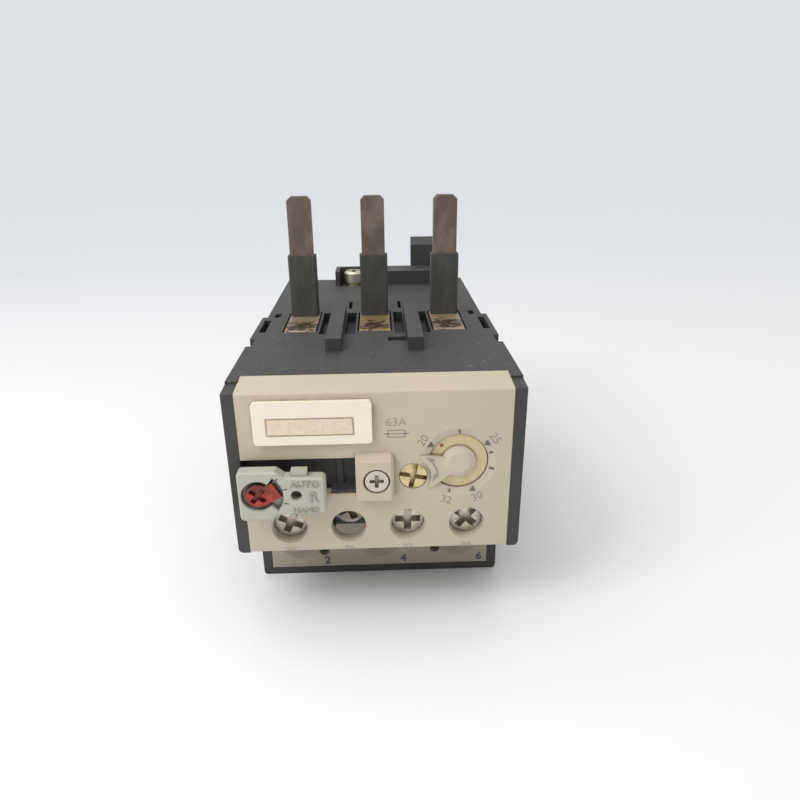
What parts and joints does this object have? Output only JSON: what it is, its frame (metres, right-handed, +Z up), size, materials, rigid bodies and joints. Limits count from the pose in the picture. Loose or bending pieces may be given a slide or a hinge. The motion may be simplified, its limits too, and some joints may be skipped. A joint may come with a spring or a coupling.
{
  "type": "thermal overload relay",
  "caption": "Plug-on thermal overload relay with geared setting dial, reset plate with selector, screw terminals and sleeved flat line pins.",
  "frame": {"origin": "centre of the bounding box at the standing face", "axes": "+X to the right seen from the front, +Y from the front to the back, +Z up along the line pins"},
  "size_m": [0.054, 0.0982, 0.0777],
  "materials": {
    "housing": "fine moulded grain, dark grey",
    "cover": "beige moulding",
    "marker": "cream moulding",
    "reset": "grey-green moulding",
    "selector": "red moulding",
    "dial": "tan moulding",
    "brass": "turned brass",
    "steel": "zinc plated",
    "pin": "tinned copper alloy, browned",
    "sleeve": "dull insulating sleeve",
    "bimetal": "rolled strip",
    "heater": "resistance ribbon on mica",
    "inner": "brown moulding"
  },
  "bodies": {
    "case": {"main_housing": "housing", "front_cover": "cover", "rear_cover": "housing", "terminal_cover": "cover", "cover_screw": "steel", "marker_plate": "marker", "terminal_block": "housing", "adjuster_bracket": "steel", "pivot_pins": "steel", "reset_guide": "housing", "reset_spring": "steel", "link_terminal": "brass", "line_pin_1": "pin", "line_pin_2": "pin", "line_pin_3": "pin", "pin_sleeve_1": "sleeve", "pin_sleeve_2": "sleeve", "pin_sleeve_3": "sleeve", "load_bar_1": "brass", "load_bar_2": "brass", "load_bar_3": "brass", "load_lug_1": "steel", "load_lug_2": "steel", "load_lug_3": "steel", "aux_terminal_1": "brass", "aux_terminal_2": "brass", "aux_terminal_3": "brass", "aux_terminal_4": "brass"},
    "dial": {"dial_wheel": "dial"},
    "adjuster": {"adjuster_screw": "brass"},
    "setting_lever": {"setting_lever": "inner"},
    "reset": {"reset_plate": "reset"},
    "selector": {"mode_selector": "selector"},
    "slider": {"trip_slider": "inner"},
    "compensator": {"compensation_lever": "inner"},
    "rocker": {"trip_rocker": "inner"},
    "nc_bridge": {"nc_bridge": "brass"},
    "no_bridge": {"no_bridge": "brass"},
    "bimetal_1": {"bimetal_strip_1": "bimetal", "heater_coil_1": "heater"},
    "bimetal_2": {"bimetal_strip_2": "bimetal", "heater_coil_2": "heater"},
    "bimetal_3": {"bimetal_strip_3": "bimetal", "heater_coil_3": "heater"},
    "load_pad_1": {"load_pad_1": "steel"},
    "load_screw_1": {"load_screw_1": "steel"},
    "load_pad_2": {"load_pad_2": "steel"},
    "load_screw_2": {"load_screw_2": "steel"},
    "load_pad_3": {"load_pad_3": "steel"},
    "load_screw_3": {"load_screw_3": "steel"},
    "aux_clamp_1": {"aux_clamp_1": "steel"},
    "aux_screw_1": {"aux_screw_1": "steel"},
    "aux_clamp_2": {"aux_clamp_2": "steel"},
    "aux_screw_2": {"aux_screw_2": "steel"},
    "aux_clamp_3": {"aux_clamp_3": "steel"},
    "aux_screw_3": {"aux_screw_3": "steel"},
    "aux_clamp_4": {"aux_clamp_4": "steel"},
    "aux_screw_4": {"aux_screw_4": "steel"},
    "link_washer": {"link_washer": "steel"},
    "link_screw": {"link_screw": "brass"}
  },
  "joints": [
    {"name": "dial_turn", "type": "hinge", "parent": "case", "child": "dial", "pos_m": [0.01507, -0.0419, 0.0349], "axis": [0, 1, 0], "range_deg": [-10, 241]},
    {"name": "adjuster_turn", "type": "hinge", "parent": "case", "child": "adjuster", "pos_m": [0.00668, -0.0419, 0.03225], "axis": [0, 1, 0], "range_deg": [-723, 30]},
    {"name": "setting_lever_turn", "type": "hinge", "parent": "case", "child": "setting_lever", "pos_m": [0.0045, -0.0399, 0.045], "axis": [0, 1, 0], "range_deg": [-10.6, 0.6]},
    {"name": "reset_press", "type": "slide", "parent": "case", "child": "reset", "axis": [0, 1, 0], "range_m": [0, 0.0016], "stiffness_N_per_m": 200, "springref_m": -0.001, "deforming": ["reset_spring"]},
    {"name": "mode_turn", "type": "hinge", "parent": "reset", "child": "selector", "pos_m": [-0.0214, -0.0449, 0.0312], "axis": [0, 1, 0], "range_deg": [-1, 24]},
    {"name": "trip_slide", "type": "slide", "parent": "case", "child": "slider", "axis": [1, 0, 0], "range_m": [0, 0.002], "stiffness_N_per_m": 100, "springref_m": -0.0005},
    {"name": "bimetal_bend_1", "type": "hinge", "parent": "case", "child": "bimetal_1", "pos_m": [-0.0168, 0.0301, 0.032], "axis": [0, 0, 1], "range_deg": [0, 2.6]},
    {"name": "bimetal_bend_2", "type": "hinge", "parent": "case", "child": "bimetal_2", "pos_m": [0, 0.0301, 0.032], "axis": [0, 0, 1], "range_deg": [0, 2.6]},
    {"name": "bimetal_bend_3", "type": "hinge", "parent": "case", "child": "bimetal_3", "pos_m": [0.0168, 0.0301, 0.032], "axis": [0, 0, 1], "range_deg": [0, 2.6]},
    {"name": "compensator_turn", "type": "hinge", "parent": "case", "child": "compensator", "pos_m": [0.0192, -0.0285, 0.045], "axis": [0, 1, 0], "range_deg": [-19.5, 0]},
    {"name": "rocker_turn", "type": "hinge", "parent": "case", "child": "rocker", "pos_m": [0, -0.0289, 0.038], "axis": [0, 1, 0], "range_deg": [0, 7.6]},
    {"name": "nc_lift", "type": "slide", "parent": "case", "child": "nc_bridge", "axis": [0, 0, 1], "range_m": [0, 0.0015]},
    {"name": "no_drop", "type": "slide", "parent": "case", "child": "no_bridge", "axis": [0, 0, -1], "range_m": [0, 0.0015]},
    {"name": "load_feed_1", "type": "slide", "parent": "case", "child": "load_pad_1", "axis": [0, 1, 0], "range_m": [0, 0.0055]},
    {"name": "load_screw_turn_1", "type": "hinge", "parent": "load_pad_1", "child": "load_screw_1", "pos_m": [-0.0168, -0.0249, 0.0086], "axis": [0, 1, 0], "range_deg": [0, 1980]},
    {"name": "load_feed_2", "type": "slide", "parent": "case", "child": "load_pad_2", "axis": [0, 1, 0], "range_m": [0, 0.0055]},
    {"name": "load_screw_turn_2", "type": "hinge", "parent": "load_pad_2", "child": "load_screw_2", "pos_m": [0, -0.0249, 0.0086], "axis": [0, 1, 0], "range_deg": [0, 1980]},
    {"name": "load_feed_3", "type": "slide", "parent": "case", "child": "load_pad_3", "axis": [0, 1, 0], "range_m": [0, 0.0055]},
    {"name": "load_screw_turn_3", "type": "hinge", "parent": "load_pad_3", "child": "load_screw_3", "pos_m": [0.0168, -0.0249, 0.0086], "axis": [0, 1, 0], "range_deg": [0, 1980]},
    {"name": "aux_feed_1", "type": "slide", "parent": "case", "child": "aux_clamp_1", "axis": [0, 1, 0], "range_m": [0, 0.0042]},
    {"name": "aux_screw_turn_1", "type": "hinge", "parent": "aux_clamp_1", "child": "aux_screw_1", "pos_m": [-0.01688, -0.0419, 0.02175], "axis": [0, 1, 0], "range_deg": [0, 2520]},
    {"name": "aux_feed_2", "type": "slide", "parent": "case", "child": "aux_clamp_2", "axis": [0, 1, 0], "range_m": [-0.0042, 0]},
    {"name": "aux_screw_turn_2", "type": "hinge", "parent": "aux_clamp_2", "child": "aux_screw_2", "pos_m": [-0.00562, -0.0419, 0.02175], "axis": [0, 1, 0], "range_deg": [-2520, 0]},
    {"name": "aux_feed_3", "type": "slide", "parent": "case", "child": "aux_clamp_3", "axis": [0, 1, 0], "range_m": [0, 0.0042]},
    {"name": "aux_screw_turn_3", "type": "hinge", "parent": "aux_clamp_3", "child": "aux_screw_3", "pos_m": [0.00562, -0.0419, 0.02175], "axis": [0, 1, 0], "range_deg": [0, 2520]},
    {"name": "aux_feed_4", "type": "slide", "parent": "case", "child": "aux_clamp_4", "axis": [0, 1, 0], "range_m": [0, 0.0042]},
    {"name": "aux_screw_turn_4", "type": "hinge", "parent": "aux_clamp_4", "child": "aux_screw_4", "pos_m": [0.01688, -0.0419, 0.02175], "axis": [0, 1, 0], "range_deg": [0, 2520]},
    {"name": "link_feed", "type": "slide", "parent": "case", "child": "link_washer", "axis": [0, 0, -1], "range_m": [0, 0.0012]},
    {"name": "link_screw_turn", "type": "hinge", "parent": "link_washer", "child": "link_screw", "pos_m": [-0.006, 0.0399, 0.05], "axis": [0, 0, -1], "range_deg": [0, 720]}
  ],
  "couplings": [
    {"joint": "adjuster_turn", "follows": "dial_turn", "ratio": -3},
    {"joint": "setting_lever_turn", "follows": "dial_turn", "ratio": -0.043192},
    {"joint": "bimetal_bend_1", "follows": "trip_slide", "rad_per_m": 22.075},
    {"joint": "bimetal_bend_2", "follows": "trip_slide", "rad_per_m": 22.075},
    {"joint": "bimetal_bend_3", "follows": "trip_slide", "rad_per_m": 22.075},
    {"joint": "compensator_turn", "follows": "trip_slide", "rad_per_m": -166.67},
    {"joint": "rocker_turn", "follows": "trip_slide", "rad_per_m": 65},
    {"joint": "nc_lift", "follows": "trip_slide", "ratio": 0.725},
    {"joint": "no_drop", "follows": "trip_slide", "ratio": 0.725},
    {"joint": "load_screw_turn_1", "follows": "load_feed_1", "rad_per_m": 6283.2},
    {"joint": "load_screw_turn_2", "follows": "load_feed_2", "rad_per_m": 6283.2},
    {"joint": "load_screw_turn_3", "follows": "load_feed_3", "rad_per_m": 6283.2},
    {"joint": "aux_screw_turn_1", "follows": "aux_feed_1", "rad_per_m": 10472},
    {"joint": "aux_screw_turn_2", "follows": "aux_feed_2", "rad_per_m": 10472},
    {"joint": "aux_screw_turn_3", "follows": "aux_feed_3", "rad_per_m": 10472},
    {"joint": "aux_screw_turn_4", "follows": "aux_feed_4", "rad_per_m": 10472},
    {"joint": "link_screw_turn", "follows": "link_feed", "rad_per_m": 10472}
  ]
}
